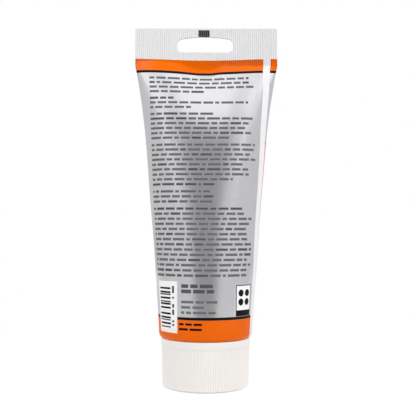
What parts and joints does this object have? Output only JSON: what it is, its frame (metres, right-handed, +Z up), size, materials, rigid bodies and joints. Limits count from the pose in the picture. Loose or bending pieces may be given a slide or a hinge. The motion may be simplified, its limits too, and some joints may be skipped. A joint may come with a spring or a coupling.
{
  "type": "construction adhesive tube",
  "caption": "Squeeze tube of construction adhesive standing on its ribbed screw cap; the round sleeve flattens into a ribbed seal with a hang hole, and the cap unscrews.",
  "frame": {"origin": "centre of the cap's flat foot, on the surface that the tube stands on", "axes": "+Z up the tube's axis from the cap to the seal, +X along the seal's width, -Y out of the face that the picture shows"},
  "size_m": [0.0596, 0.038, 0.1474],
  "materials": {
    "printed_laminate": "satin metallic print",
    "shoulder_plastic": "moulded, smooth",
    "foil": "bright foil",
    "cap_plastic": "moulded, satin"
  },
  "bodies": {
    "cap": {"cap": "cap_plastic"},
    "foil": {"foil_seal": "foil"},
    "tube": {"tube_body": "printed_laminate", "shoulder_neck": "shoulder_plastic"}
  },
  "joints": [
    {"name": "tube_rise", "type": "slide", "parent": "cap", "child": "foil", "axis": [0, 0, 1], "range_m": [0, 0.00605]},
    {"name": "cap_turn", "type": "hinge", "parent": "foil", "child": "tube", "pos_m": [0, 0, 0], "axis": [0, 0, 1], "range_deg": [0, 720]}
  ],
  "couplings": [
    {"joint": "tube_rise", "follows": "cap_turn", "m_per_rad": 0.00047746}
  ]
}
